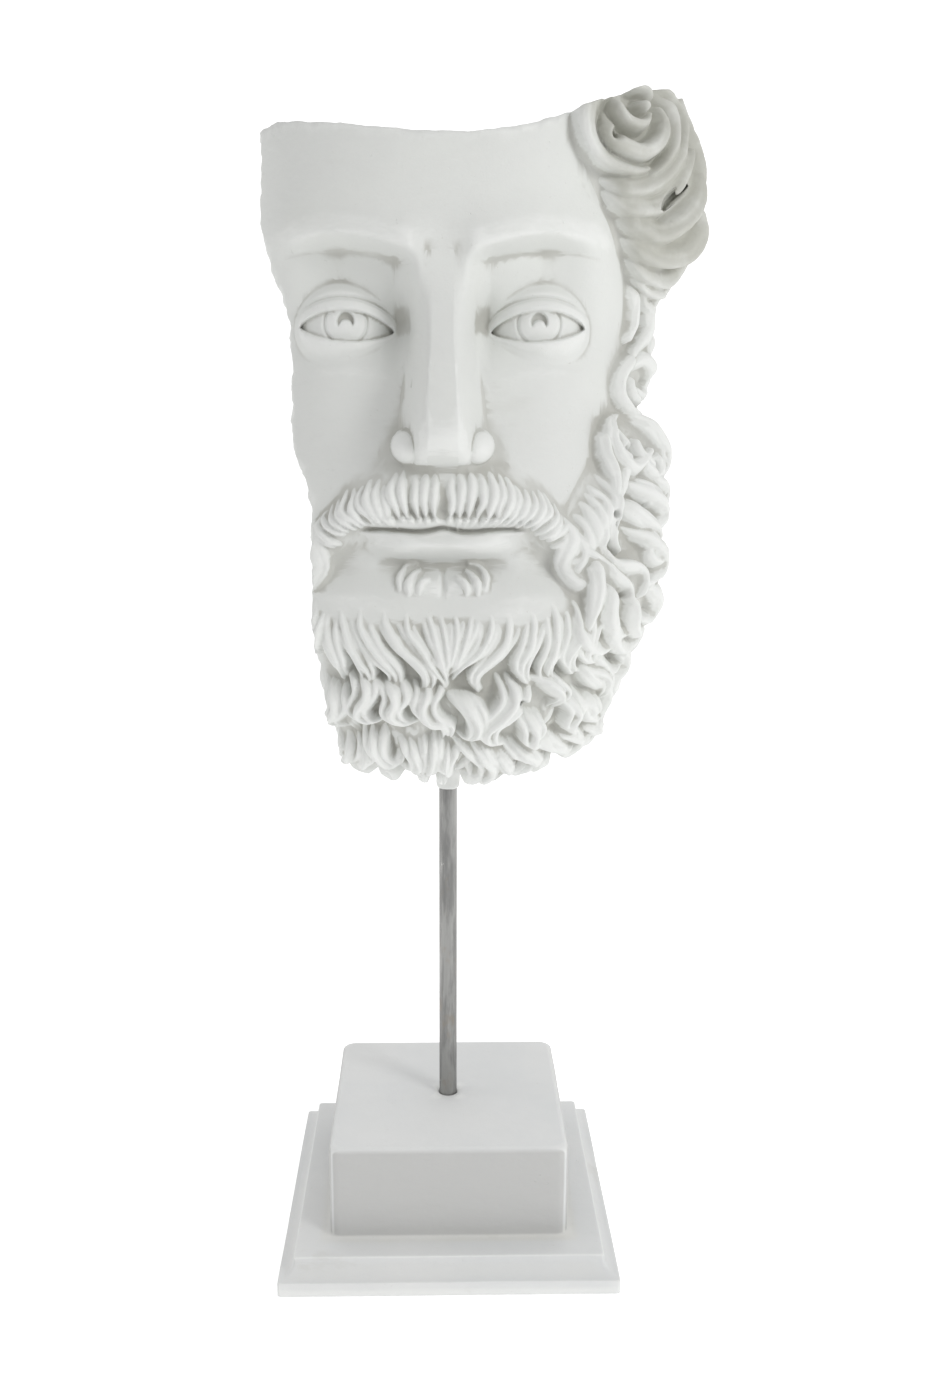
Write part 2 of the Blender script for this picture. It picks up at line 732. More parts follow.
def carvingTree():
    # sweeps a grooved strip along every lock and raises the head's skin to the highest strip over it
    tree = newTree("carveLocks", "Locks", carving)
    start, add, maths, vector, scaled, named = treeKit(tree)
    locks = add("GeometryNodeObjectInfo", start["Locks"])["Geometry"]
    rail = add("GeometryNodeMeshToCurve", locks)[0]
    line = add("GeometryNodeCurvePrimitiveLine", (-1, 0, 0), (1, 0, 0))[0]
    line = add("GeometryNodeResampleCurve", line, None, start["Points across"])[0]
    place = add("GeometryNodeInputPosition")[0]
    x = add("ShaderNodeSeparateXYZ", place)["X"]
    profile = add("GeometryNodeStoreNamedAttribute", line, None, "across", x)[0]
    strips = add("GeometryNodeCurveToMesh", rail, profile)[0]

    # the strip's section: a rounded body with coarse and fine grooves, which drift across it
    angle = maths("MULTIPLY", named("across"), math.pi / 2)
    body = maths("POWER", maths("MAXIMUM", maths("COSINE", angle), 0.0), start["Flank"])
    offset = maths("MULTIPLY", maths("SINE", angle), named("halfWidth"))
    drift = maths("MULTIPLY_ADD", named("share"), 5, maths("MULTIPLY", named("phase"), 6))
    drift = maths("SINE", drift)
    strand = maths("MULTIPLY", maths("MULTIPLY_ADD", named("across"), 0.5, 0.5), named("strands"))
    strand = maths("MULTIPLY_ADD", drift, start["Drift"], strand)
    coarse = maths("ABSOLUTE", maths("SINE", maths("MULTIPLY", strand, math.pi)))
    fine = maths("ABSOLUTE", maths("SINE", maths("MULTIPLY_ADD", strand, 2 * math.pi, named("phase"))))
    ripple = maths("MULTIPLY_ADD", maths("POWER", coarse, 0.8), 0.8, maths("MULTIPLY", fine, 0.2))
    depth = maths("MULTIPLY", maths("SUBTRACT", ripple, 1), named("groove"))
    depth = maths("MULTIPLY", depth, maths("MULTIPLY_ADD", maths("SQRT", body), 0.6, 0.4))
    high = maths("ADD", maths("MULTIPLY_ADD", named("thick"), body, named("lift")), depth)
    high = maths("MULTIPLY_ADD", named("tilt"), offset, high)
    high = maths("MULTIPLY", high, start["Relief"])
    outward = named("outward", "FLOAT_VECTOR")
    moved = vector("ADD", scaled(named("aside", "FLOAT_VECTOR"), offset), scaled(outward, high))
    at = vector("ADD", named("spine", "FLOAT_VECTOR"), moved)
    strips = add("GeometryNodeSetPosition", strips, None, at)[0]

    # rays from outside find the highest strip over each point
    source = vector("ADD", place, scaled(outward, start["Reach"]))
    ray = add("GeometryNodeRaycast", strips, None, source, scaled(outward, -1.0), start["Reach"])
    found = maths("MULTIPLY", maths("SUBTRACT", start["Reach"], ray["Hit Distance"]), ray["Is Hit"])
    relief = add("GeometryNodeBlurAttribute", found, start["Softening"])[0]
    worn = add("ShaderNodeTexNoise", place, None, start["Wear scale"], 2.0)[0]
    worn = maths("MULTIPLY", maths("SUBTRACT", worn, 0.5), start["Wear"])
    onHair = maths("MINIMUM", maths("MULTIPLY", relief, 400.0), 1.0)
    relief = maths("MULTIPLY_ADD", worn, maths("MAXIMUM", onHair, 0.0), relief)
    bored = named("bored")
    relief = maths("MULTIPLY", relief, maths("SUBTRACT", 1.0, bored))
    relief = maths("SUBTRACT", relief, maths("MULTIPLY", bored, start["Bore depth"]))

    # cliffs between overlapping locks are eased, so that they don't show the grid's steps
    even = add("GeometryNodeBlurAttribute", found, start["Cliff width"])[0]
    steep = maths("MULTIPLY", maths("ABSOLUTE", maths("SUBTRACT", found, even)), start["Cliff gain"])
    steep = maths("MINIMUM", steep, 1.0)
    skin = add("GeometryNodeStoreNamedAttribute", start["Geometry"], None, "steep", steep)[0]
    skin = add("GeometryNodeSetPosition", skin, None, None, scaled(outward, relief))[0]
    eased = add("GeometryNodeBlurAttribute", place, start["Easing"], data_type="FLOAT_VECTOR")[0]
    ease = scaled(vector("SUBTRACT", eased, place), named("steep"))
    skin = add("GeometryNodeSetPosition", skin, None, None, ease)[0]
    finished(add, skin, start["Material"])
    return tree


def finished(add, mesh, material):
    smooth = add("GeometryNodeSetShadeSmooth", mesh)[0]
    whole = add("GeometryNodeRealizeInstances", smooth)[0]
    add("NodeGroupOutput", add("GeometryNodeSetMaterial", whole, None, material)[0])


def plainCopy(piece, name):
    # the piece with its modifiers made real
    bpy.context.view_layer.update()
    evaluated = piece.evaluated_get(bpy.context.evaluated_depsgraph_get())
    mesh = bpy.data.meshes.new_from_object(evaluated)
    old = piece.data
    result = linked(name, mesh)
    bpy.data.objects.remove(piece)
    if old.users == 0:
        bpy.data.meshes.remove(old)
    return result


def shaped(piece, tree, name, values):
    modifier = piece.modifiers.new(tree.name, "NODES")
    modifier.node_group = tree
    for item in tree.interface.items_tree:
        if item.in_out == "INPUT" and item.name in values:
            modifier[item.identifier] = values[item.name]
    return plainCopy(piece, name)


def setAttribute(piece, name, values):
    values = np.asarray(values, float)
    kind, field = ("FLOAT_VECTOR", "vector") if values.ndim == 2 else ("FLOAT", "value")
    piece.data.attributes.new(name, kind, "POINT").data.foreach_set(field, values.ravel())


def lockLines(locks):
    # the locks' lines as one object of edges, which carries their measures for the node tree
    edges = []
    first = 0
    for lock in locks:
        count = len(lock["share"])
        edges += [(first + i, first + i + 1) for i in range(count - 1)]
        first += count
    points = np.concatenate([lock["spine"] for lock in locks]) / mm
    piece = meshFrom("lockLines", points, [], edges)
    for name in locks[0]:
        setAttribute(piece, name, np.concatenate([lock[name] for lock in locks]))
    return piece


# Beard: three tiers of locks over each other, drawn in millimetres as seen from the front

beard = {
    "longLocks": [
        (6, [(-3, 374), (-4, 362), (-3, 351), (-1, 341), (-1, 331)]),
        (7, [(-9, 376), (-11, 365), (-8, 352), (-3, 342), (-1, 329)]),
        (8, [(-18, 377), (-21, 366), (-20, 354), (-12, 344), (-5, 334), (-1, 324)]),
        (11, [(-28, 378), (-32, 368), (-31, 358), (-24, 348), (-14, 338), (-10, 328), (-13, 320)]),
        (10, [(-37, 378), (-42, 368), (-44, 357), (-39, 347), (-30, 339), (-25, 330), (-28, 322)]),
        (10, [(-46, 377), (-52, 367), (-53, 358), (-48, 348), (-42, 340), (-38, 330), (-41, 323)]),
        (10, [(-54, 376), (-59, 365), (-60, 354), (-56, 346), (-52, 338), (-51, 328)]),
        (9, [(-63, 377), (-66, 362), (-65, 349), (-61, 340)]),
        (6, [(2, 374), (3, 362), (3, 352), (2, 342), (0, 332)]),
        (7, [(8, 376), (11, 365), (10, 354), (5, 344), (1, 332)]),
        (8, [(15, 377), (20, 365), (20, 354), (15, 346), (7, 338), (1, 329)]),
        (11, [(25, 378), (29, 366), (30, 354), (26, 346), (18, 338), (12, 330), (15, 322)]),
        (10, [(34, 378), (40, 366), (43, 356), (39, 346), (34, 338), (35, 329), (40, 324)]),
        (10, [(43, 378), (50, 368), (54, 358), (52, 346), (46, 338), (45, 330), (52, 324)]),
        (10, [(55, 382), (60, 370), (64, 360), (63, 350), (57, 342), (57, 333), (63, 328)]),
        (10, [(61, 384), (68, 372), (72, 362), (70, 352), (66, 344), (69, 337), (77, 336)]),
    ],
    "middleLocks": [
        (11, [(-1, 334), (0, 326), (4, 321), (11, 314), (14, 306), (10, 300), (4, 302)]),
        (12, [(20, 344), (28, 332), (31, 320), (24, 311), (18, 306), (20, 298), (28, 294)]),
        (10, [(35, 342), (41, 332), (48, 326), (53, 320), (50, 312)]),
        (11, [(-21, 340), (-14, 332), (-10, 323), (-13, 316), (-8, 310), (-1, 308), (-1, 298)]),
        (11, [(-40, 342), (-32, 332), (-25, 321), (-28, 314), (-22, 308), (-15, 308)]),
        (11, [(-54, 344), (-46, 336), (-38, 323), (-43, 314), (-38, 308), (-31, 309)]),
        (10, [(-62, 336), (-57, 326), (-52, 315), (-57, 307), (-51, 301)]),
        (10, [(33, 323), (36, 313), (41, 304), (39, 297), (46, 290)]),
        (10, [(46, 333), (54, 322), (61, 310), (58, 302), (69, 293)]),
        (10, [(57, 344), (65, 336), (76, 326), (80, 314), (71, 311)]),
        (10, [(57, 328), (64, 318), (75, 306), (71, 300)]),
    ],
    "tipLocks": [
        (10, [(-56, 312), (-52, 301), (-48, 291), (-52, 281), (-59, 284)]),
        (10, [(-38, 314), (-37, 302), (-34, 290), (-27, 285), (-23, 292)]),
        (9, [(-25, 312), (-21, 300), (-15, 288), (-19, 281), (-26, 284)]),
        (9, [(-12, 312), (-8, 301), (-8, 288), (-12, 278), (-18, 283)]),
        (11, [(3, 312), (7, 300), (16, 290), (21, 282), (16, 272), (9, 280)]),
        (10, [(22, 308), (28, 298), (38, 288), (47, 278), (44, 274)]),
        (10, [(35, 311), (40, 300), (51, 291), (66, 282), (62, 279)]),
        (9, [(49, 310), (57, 298), (68, 291), (76, 286)]),
        (9, [(63, 306), (75, 296), (85, 292), (82, 288)]),
        (9, [(-46, 309), (-44, 298), (-39, 289), (-45, 278)]),
        (8, [(-5, 304), (0, 295), (-2, 284), (3, 276)]),
        (8, [(16, 304), (19, 294), (26, 287), (32, 273)]),
    ],
    "shapes": {
        "tipLocks": dict(thick=11, lift=1, sink=-7, climb=0.35, root=0.6, tip=0.3, bank=5, strands=3),
        "middleLocks": dict(
            thick=12, lift=1, sink=-9, climb=0.4, root=0.6, tip=0.3, bank=5, strands=3, dive=2,
        ),
        "longLocks": dict(
            thick=10, lift=3, sink=-11, climb=0.85, root=1.0, tip=0.3, bank=5, strands=3, taper=0.4, fade=0.4,
            dive=2,
        ),
    },
    "underRows": [290, 305, 320],
    "underCount": 11,
    "underTurns": (-42, 66),
    # shares of the way to the second knot where the locks leave the chin's smooth mass
    "start": (0.5, 0.95),
    "strandShift": 0.6,
    "tipCurls": [
        (-57, 285, 7, 1), (-48, 276, 6, -1), (-30, 280, 7, 1), (-14, 278, 6, -1), (-3, 275, 5, 1),
        (12, 275, 7, -1), (25, 278, 6, 1), (37, 279, 7, -1), (52, 279, 6, 1), (66, 286, 7, -1),
        (78, 291, 6, 1),
    ],
}


def beardLines():
    lines = []
    for row, height in enumerate(beard["underRows"]):
        for i in range(beard["underCount"]):
            turn = mix(*beard["underTurns"], (i + 0.5 * (row % 2)) / beard["underCount"])
            lines.append(waveLock(
                turn, height + scatter.uniform(-4, 4), 27 * vary(0.15), aim=scatter.uniform(-25, 25), wave=35,
                phase=scatter.choice([0, 0.5]), width=9 * vary(0.1), thick=3, sink=-3, root=0.6, tip=0.3,
                bank=2, strands=2, groove=1,
            ))
    for name, shape in beard["shapes"].items():
        for width, knots in beard[name]:
            first = mix(np.array(knots[0]), np.array(knots[1]), scatter.uniform(*beard["start"]))
            knots = [tuple(first)] + knots[1:]
            lines.append(drawnLock(knots, width * vary(0.08), loose=0.5, groove=2.3, **shape))
            for shift in (-beard["strandShift"], beard["strandShift"]):
                # a finer strand beside the lock, which closes in on it towards the tip
                apart = shift * width * vary(0.2) * np.linspace(1, 0.15, len(knots)) ** 0.8
                beside = [(x + away, z + 1) for (x, z), away in zip(knots, apart)]
                lines.append(drawnLock(
                    beside, 5 * vary(0.15), 4.5, loose=0.4, lift=shape["lift"] + shape["thick"] - 7,
                    sink=shape["sink"] + 3, climb=shape["climb"], root=0.8, tip=0.3, strands=1,
                    groove=0, dive=3,
                ))
    for x, z, radius, hand in beard["tipCurls"]:
        turn = turnSeen(np.array([x]), np.array([z]))[0]
        lines.append(curl(
            turn, z, radius, hand, radius, 7, sweep=400, lift=4, sink=-2, root=0.7, tip=0.6, strands=2,
        ))
    return lines


# Jaw: the short strands that leave the cheek, the swooping locks and the curls behind them

jaw = {
    "cheekStrands": 11,
    "cheekLine": [(82, 454), (76, 439), (68, 424), (56, 406)],
    "locks": [
        (10, [(89, 460), (104, 452), (115, 445), (123, 436), (120, 427), (109, 426), (108, 432)]),
        (8, [(93, 459), (82, 453), (80, 445), (86, 434), (94, 430), (105, 434), (114, 439)]),
        (7, [(82, 456), (77, 447), (77, 437), (82, 426), (82, 416), (79, 407)]),
        (10, [(89, 430), (92, 423), (102, 418), (114, 414), (123, 404), (114, 398), (104, 398)]),
        (8, [(98, 426), (109, 424), (122, 418), (123, 408), (124, 398)]),
        (9, [(85, 418), (89, 410), (100, 404), (110, 398), (118, 391)]),
        (8, [(84, 426), (83, 414), (81, 404), (81, 396), (87, 387)]),
        (9, [(86, 402), (95, 398), (105, 394), (116, 384), (115, 374), (104, 370)]),
        (8, [(77, 416), (76, 405), (74, 396), (76, 386), (84, 380), (95, 380), (103, 373), (100, 364)]),
        (8, [(62, 400), (65, 391), (72, 383), (81, 376), (88, 371), (94, 364)]),
        (9, [(63, 392), (70, 383), (73, 370), (71, 360), (67, 352)]),
        (9, [(76, 378), (80, 367), (78, 358), (83, 350), (94, 348)]),
        (8, [(87, 372), (93, 362), (92, 354), (103, 344), (111, 348)]),
        (9, [(100, 371), (112, 366), (117, 358), (112, 350), (103, 352)]),
        (8, [(66, 360), (65, 350), (70, 343), (78, 343), (80, 348)]),
        (8, [(76, 358), (82, 346), (94, 338), (106, 338)]),
        (8, [(69, 347), (75, 334), (87, 326), (95, 331)]),
        (8, [(87, 345), (96, 328), (89, 319), (94, 310)]),
        (8, [(63, 342), (67, 328), (80, 318), (87, 322)]),
        (8, [(76, 328), (85, 313), (84, 302), (88, 297)]),
        (8, [(61, 324), (66, 310), (80, 299), (87, 302)]),
    ],
    "holes": [
        (93, 438, 2.2), (113, 430, 2.6), (81, 407, 1.4), (82, 402, 1.6), (77, 393, 2.0), (95, 371, 2.4),
        (89, 367, 1.8), (35, 317, 1.6), (105, 409, 1.8),
    ],
    "backRows": [304, 325, 348, 371, 394, 417, 440],
    "backCount": 3,
    "backTurns": (76, 91),
}


def jawLines():
    lines = []
    for row, height in enumerate(jaw["backRows"]):
        for i in range(jaw["backCount"]):
            turn = mix(*jaw["backTurns"], (i + 0.5 * (row % 2)) / jaw["backCount"])
            hand = 1 if (i + row) % 2 else -1
            lines.append(waveLock(
                turn, height + scatter.uniform(-4, 4), 52 * vary(0.12), aim=-hand * 35, wave=hand * 25,
                waves=0.7, spin=hand * scatter.uniform(190, 300), slow=0.6,
                width=15 * vary(0.1), thick=7, lift=vary(0.4), sink=-4, root=0.7, tip=0.35, bank=3,
                strands=4, groove=2.0,
            ))
    for width, knots in reversed(jaw["locks"]):
        lines.append(drawnLock(
            knots, 1.4 * width * vary(0.08), 8, loose=0.5, lift=2 * vary(0.3), sink=-5, root=0.6, tip=0.35,
            bank=3, strands=3, groove=2.0,
        ))
    for x, z in resampled(spline(jaw["cheekLine"], 12), jaw["cheekStrands"]):
        knots = [(x - 1, z + 2), (x + 5, z - 3), (x + 9, z - 9), (x + 10, z - 17), (x + 7, z - 27)]
        lines.append(drawnLock(
            knots, 8 * vary(0.1), 3.5, loose=0.5, lift=4.5, sink=-4, climb=0.7, root=0.9, tip=0.4,
            strands=1, groove=0,
        ))
    return lines


# Hair: a rosette at the temple over thick rolls that sag back from the hairline, and the sideburn

hair = {
    "rolls": [
        (9, [(119, 622), (124, 609), (128, 600), (134, 586), (138, 579), (140, 572)]),
        (9, [(114, 628), (120, 616), (124, 608), (128, 600), (132, 590), (136, 583)]),
        (10, [(96, 620), (109, 614), (119, 608), (122, 599), (121, 588), (115, 581)]),
        (11, [(71, 574), (81, 568), (94, 568), (105, 572), (114, 579), (121, 590), (126, 604)]),
        (11, [(74, 569), (83, 560), (97, 559), (109, 562), (115, 568), (123, 578), (131, 590)]),
        (12, [(78, 558), (90, 552), (106, 548), (120, 552), (129, 559), (136, 570), (137, 580)]),
        (12, [(84, 548), (98, 541), (114, 538), (129, 542), (139, 552), (139, 564)]),
        (10, [(90, 538), (105, 532), (121, 530), (131, 536), (137, 544)]),
        (9, [(94, 530), (111, 525), (120, 524), (127, 532), (132, 538)]),
    ],
    "swirls": [
        (11, [
            (99, 617), (84, 617), (73, 612), (66, 603), (64, 594), (68, 585), (78, 578), (92, 575),
            (100, 578),
        ]),
        (9, [(101, 615), (110, 604), (113, 592), (108, 580), (98, 573)]),
        (9, [(75, 602), (75, 593), (81, 586), (92, 583), (103, 588), (107, 598), (102, 607)]),
        (7, [(80, 609), (80, 601), (85, 595), (93, 596), (98, 603)]),
        (6, [(82, 613), (91, 612), (99, 607)]),
        (5, [(88, 606), (93, 604), (91, 600)]),
    ],
    "sideburn": [
        (7, [(97, 526), (100, 515), (100, 504), (96, 494)]),
        (9, [(101, 536), (108, 522), (114, 511), (113, 500), (106, 490), (98, 486)]),
        (9, [(112, 536), (119, 520), (121, 508), (117, 496), (113, 486)]),
        (7, [(110, 487), (99, 485), (90, 478), (89, 468), (97, 460), (108, 455)]),
        (8, [(100, 479), (109, 486), (118, 482), (118, 474), (110, 467), (102, 471)]),
        (5, [(98, 478), (96, 472), (100, 466), (108, 462)]),
    ],
    # how much wider each kind is than drawn, and its shape
    "shapes": {
        "rolls": (1.2, dict(
            thick=10, loose=0.5, lift=0, sink=-8, climb=0.2, root=0.6, tip=0.5, bank=3, strands=3, groove=2.2,
        )),
        "swirls": (1.05, dict(
            thick=9, loose=0.2, lift=3, sink=-3, climb=0.25, root=0.5, tip=0.4, bank=2, strands=2, groove=2.2,
        )),
        "sideburn": (1.4, dict(
            thick=6, loose=0.3, lift=2, sink=-3, climb=0.2, root=0.6, tip=0.5, bank=2, strands=3, groove=1.1,
        )),
    },
    "holes": [(131, 588, 2.2), (87, 602, 2.4), (79, 590, 1.8)],
}


def hairLines():
    lines = []
    for name, (wider, shape) in hair["shapes"].items():
        lines += [drawnLock(knots, wider * width, **shape) for width, knots in hair[name]]
    return lines


# Moustache: comb-like strands that leave the skin below the nose and fall outwards

moustache = {
    "strands": 19,
    "rootLine": [(2, 437), (11, 437), (20, 435), (30, 431), (42, 426), (54, 417), (62, 409), (66, 398)],
    "tipLine": [(3, 404), (12, 404), (22, 404), (32, 404), (40, 403), (47, 400), (53, 392), (58, 383)],
    "end": (12, [(58, 408), (63, 396), (61, 387), (63, 379), (70, 374), (78, 376)]),
    "padStrands": [
        (4.5, [(12, 385), (17, 383), (21, 378), (21, 372)]),
        (4.5, [(10, 381), (14, 379), (17, 375), (17, 370)]),
        (4.0, [(6, 378), (10, 376), (12, 373), (12, 370)]),
    ],
}


def moustacheLines():
    lines = []
    width, knots = moustache["end"]
    for side in (-1, 1):
        lines.append(drawnLock(
            knots, 1.2 * width, 5, side, head["midX"], 0.5, lift=1.5, sink=-2, root=0.6, tip=0.5, bank=2,
            strands=3, groove=1.2,
        ))
    roots = resampled(spline(moustache["rootLine"]), moustache["strands"])
    tips = resampled(spline(moustache["tipLine"]), moustache["strands"])
    for side in (-1, 1):
        for i, ((x0, z0), (x1, z1)) in enumerate(zip(roots, tips)):
            share = i / moustache["strands"]
            bow = mix(2, 6.5, rise(0, 0.25, share))
            length = math.hypot(x1 - x0, z0 - z1)
            outward = np.array([z0 - z1, x1 - x0]) / length
            start, reach = scatter.uniform(-0.05, 0.12), vary(0.06)
            knots = []
            for t in np.linspace(start, 1, 6):
                out = bow * math.sin(math.pi * t)
                x, z = mix(x0, x1, t * reach), mix(z0, z1, t * reach)
                knots.append((x + out * outward[0], z + out * outward[1]))
            lines.append(drawnLock(
                knots, 5.8 * vary(0.12), 4.2 * vary(0.1), side, head["midX"], 0.45,
                lift=1.2 * vary(0.6), sink=-4.6, climb=0.75, root=0.85, tip=0.35, bank=1.5, strands=1,
                groove=0,
            ))
    return lines


def tuftLines():
    lines = []
    for side in (-1, 1):
        for width, knots in moustache["padStrands"]:
            lines.append(drawnLock(
                knots, width, 1.8, side, head["midX"], 0.3, lift=1, sink=0.5, root=0.7, tip=0.4, strands=1,
                groove=0,
            ))
    return lines


def addHead():
    low, high = head["gridRows"]
    turns = np.linspace(-89, 89, head["gridColumns"])
    heights = np.concatenate([
        np.linspace(head["beardTip"] + 0.6, head["gridChange"], low, endpoint=False),
        np.linspace(head["gridChange"], head["top"], high),
    ])
    points = skinPoint(turns[None, :], heights[:, None])
    piece = meshFrom("head", points.reshape(-1, 3), tubeFaces(*points.shape[:2]))
    setAttribute(piece, "outward", skinNormal(turns[None, :], heights[:, None]).reshape(-1, 3))
    setAttribute(piece, "bored", drilled(points, jaw["holes"] + hair["holes"]).ravel())
    locks = beardLines() + jawLines() + hairLines() + moustacheLines() + tuftLines()
    print(len(locks), "locks drawn")
    lines = lockLines(locks)
    piece = shaped(piece, carvingTree(), "head", {"Locks": lines, "Material": plaster})
    bpy.data.objects.remove(lines)
    return piece, np.concatenate([lock["spine"] for lock in locks])


# The cuts that make the head a fragment: the broken side, the sawn top, the hollow and the holes

fragment = {
    "breakLine": [
        (-60, 240), (-57, 280), (-65, 322), (-68, 365), (-69, 414), (-79, 446), (-80, 500), (-92, 540),
        (-95, 572), (-94, 596),
    ],
    "topCut": [(-84, 598), (-42, 592), (-8, 589), (26, 591), (64, 602), (88, 612), (112, 617), (170, 619)],
    "breakRoughness": 2.2,
    "cutRoughness": 0.9,
    "noiseScale": 0.11,
    "frontY": -160,
    "rows": 110,
    "farX": 170,
    "farZ": 240,
    "triangles": 195000,
    "recessDepth": 0.9,
}


def addOutline():
    broken, sawn = spline(fragment["breakLine"], 20), spline(fragment["topCut"], 14)
    ring = np.concatenate([broken, sawn, [(fragment["farX"], fragment["farZ"])]])
    rough = np.repeat([fragment["breakRoughness"], fragment["cutRoughness"]], [len(broken), len(sawn) + 1])
    depths = np.linspace(fragment["frontY"], head["backY"] + 5, fragment["rows"])
    points = np.empty((len(depths), len(ring), 3))
    points[..., 0] = ring[:, 0]
    points[..., 1] = depths[:, None]
    points[..., 2] = ring[:, 1]
    for row in points:
        for j in range(len(ring) - 1):
            place = Vector(row[j]) * fragment["noiseScale"]
            swing = noise_vector(place) + 0.5 * noise_vector(2.6 * place)
            row[j] += np.array(swing) * (1, 0, 1) * rough[j]
    piece = meshFrom("outline", points.reshape(-1, 3), tubeFaces(*points.shape[:2]))
    outwardFaces(piece)
    return piece


def outwardFaces(piece):
    work = bmesh.new()
    work.from_mesh(piece.data)
    bmesh.ops.recalc_face_normals(work, faces=work.faces)
    work.to_mesh(piece.data)
    work.free()


def unloaded(work, name):
    mesh = bpy.data.meshes.new(name)
    work.to_mesh(mesh)
    work.free()
    return linked(name, mesh)


def sectionTree():
    # sweeps a section round a square with rounded corners; a section as round as it is wide is a circle
    values = {"Unevenness": 0.0002, "Noise scale": 20.0, "Seed": 3.0, "Weld": 0.00002}
    tree = newTree("sweepSection", "Section", values)
    start, add, maths, vector, scaled, named = treeKit(tree)
    rail = add("GeometryNodeMeshToCurve", start["Geometry"])[0]
    section = add("GeometryNodeObjectInfo", start["Section"])["Geometry"]
    section = add("GeometryNodeMeshToCurve", section)[0]
    skin = add("GeometryNodeCurveToMesh", rail, section)[0]
    part = add("ShaderNodeSeparateXYZ", named("section", "FLOAT_VECTOR"))
    corner = scaled(named("corner", "FLOAT_VECTOR"), maths("SUBTRACT", part["X"], part["Y"]))
    heading = scaled(named("heading", "FLOAT_VECTOR"), part["Y"])
    up = add("ShaderNodeCombineXYZ", 0.0, 0.0, part["Z"])[0]
    at = vector("ADD", vector("ADD", corner, heading), up)
    scale, seed = start["Noise scale"], start["Seed"]
    cloud = add("ShaderNodeTexNoise", at, seed, scale, 4.0, 0.5, noise_dimensions="4D")["Color"]
    swing = scaled(vector("SUBTRACT", cloud, (0.5, 0.5, 0.5)), start["Unevenness"])
    # the underside stays flat on the floor
    at = vector("MAXIMUM", vector("ADD", at, swing), (-1.0, -1.0, 0.0))
    placed = add("GeometryNodeSetPosition", skin, None, at)[0]
    merged = add("GeometryNodeMergeByDistance", placed, None, start["Weld"])[0]
    finished(add, merged, start["Material"])
    return tree


turnedTree = sectionTree()


def arc(half, height, inwards, upwards, steps, cove=False):
    # a quarter round of a section, from its outer lower end, as half widths and heights
    points = []
    for i in range(steps + 1):
        angle = math.pi / 2 * i / steps
        share, fall = math.sin(angle), 1 - math.cos(angle)
        if cove:
            share, fall = fall, share
        points.append((half - inwards * fall, height + upwards * share))
    return points


def swept(name, section, material, surface, cornerSteps=10, sideSteps=30, step=3.0):
    # section holds half width, corner radius and height; long stretches get points between
    fine = []
    for a, b in zip(section[:-1], section[1:]):
        a, b = np.array(a, float), np.array(b, float)
        count = max(int(math.ceil(np.linalg.norm(b - a) / step)), 1)
        fine += [mix(a, b, i / count) for i in range(count)]
    fine = np.array(fine + [section[-1]], float)
    lines = meshFrom("section", fine, [], [(i, i + 1) for i in range(len(fine) - 1)])
    setAttribute(lines, "section", fine * mm)

    # the rail only has to pass round; each of its points holds its corner and the way the corner's arc faces
    corners = [(1, 1), (-1, 1), (-1, -1), (1, -1)]
    rail = []
    for k, corner in enumerate(corners):
        onward = corners[(k + 1) % 4]
        rail += [(corner, 90 * k + 90 * i / cornerSteps) for i in range(cornerSteps)]
        for i in range(sideSteps):
            rail.append((tuple(mix(a, b, i / sideSteps) for a, b in zip(corner, onward)), 90 * k + 90))
    corner = np.array([(x, y, 0) for (x, y), _ in rail], float)
    heading = np.array([(math.cos(math.radians(turn)), math.sin(math.radians(turn)), 0) for _, turn in rail])
    count = len(rail)
    piece = meshFrom(name, 100 * corner + 30 * heading, [], [(i, (i + 1) % count) for i in range(count)])
    setAttribute(piece, "corner", corner)
    setAttribute(piece, "heading", heading)
    piece = shaped(piece, turnedTree, name, {
        "Section": lines, "Unevenness": surface["unevenness"] * mm, "Noise scale": surface["noiseScale"],
        "Seed": surface["seed"], "Material": material,
    })
    bpy.data.objects.remove(lines)
    outwardFaces(piece)
    return piece


hollow = {
    "centre": (8, 45.5, 452),
    "radii": (70, 60, 122),
    "unevenness": 1.6,
    "noiseScale": 0.05,
    "rodRadius": 5.3,
    "rodTop": 332.3,
}


def addHollow():
    work = bmesh.new()
    bmesh.ops.create_uvsphere(work, u_segments=128, v_segments=90, radius=1)
    for v in work.verts:
        place = Vector([c + r * u for c, r, u in zip(hollow["centre"], hollow["radii"], v.co)])
        place += noise_vector(place * hollow["noiseScale"]) * hollow["unevenness"]
        v.co = place * mm
    piece = unloaded(work, "hollow")
    outwardFaces(piece)
    return piece


def addRodHole():
    work = bmesh.new()
    bottom, top = head["beardTip"] - 20, hollow["rodTop"]
    radius = hollow["rodRadius"] * mm
    bmesh.ops.create_cone(
        work, cap_ends=True, segments=48, depth=(top - bottom) * mm, radius1=radius, radius2=radius,
    )
    bmesh.ops.translate(work, verts=work.verts, vec=(0, 0, (top + bottom) / 2 * mm))
    return unloaded(work, "rodHole")


slit = {
    "line": [(109, -4, 559), (113, 0, 564.5), (118, 3, 569), (123, 6, 573)],
    "aim": (0.16, 0.98, 0.14),
    "halfWidth": 2.6,
    # how far along the aim each ring of the wedge lies, and its share of the width
    "rings": [(-16.0, 1.3), (0, 1), (14.0, 0.45)],
    "steps": 24,
}


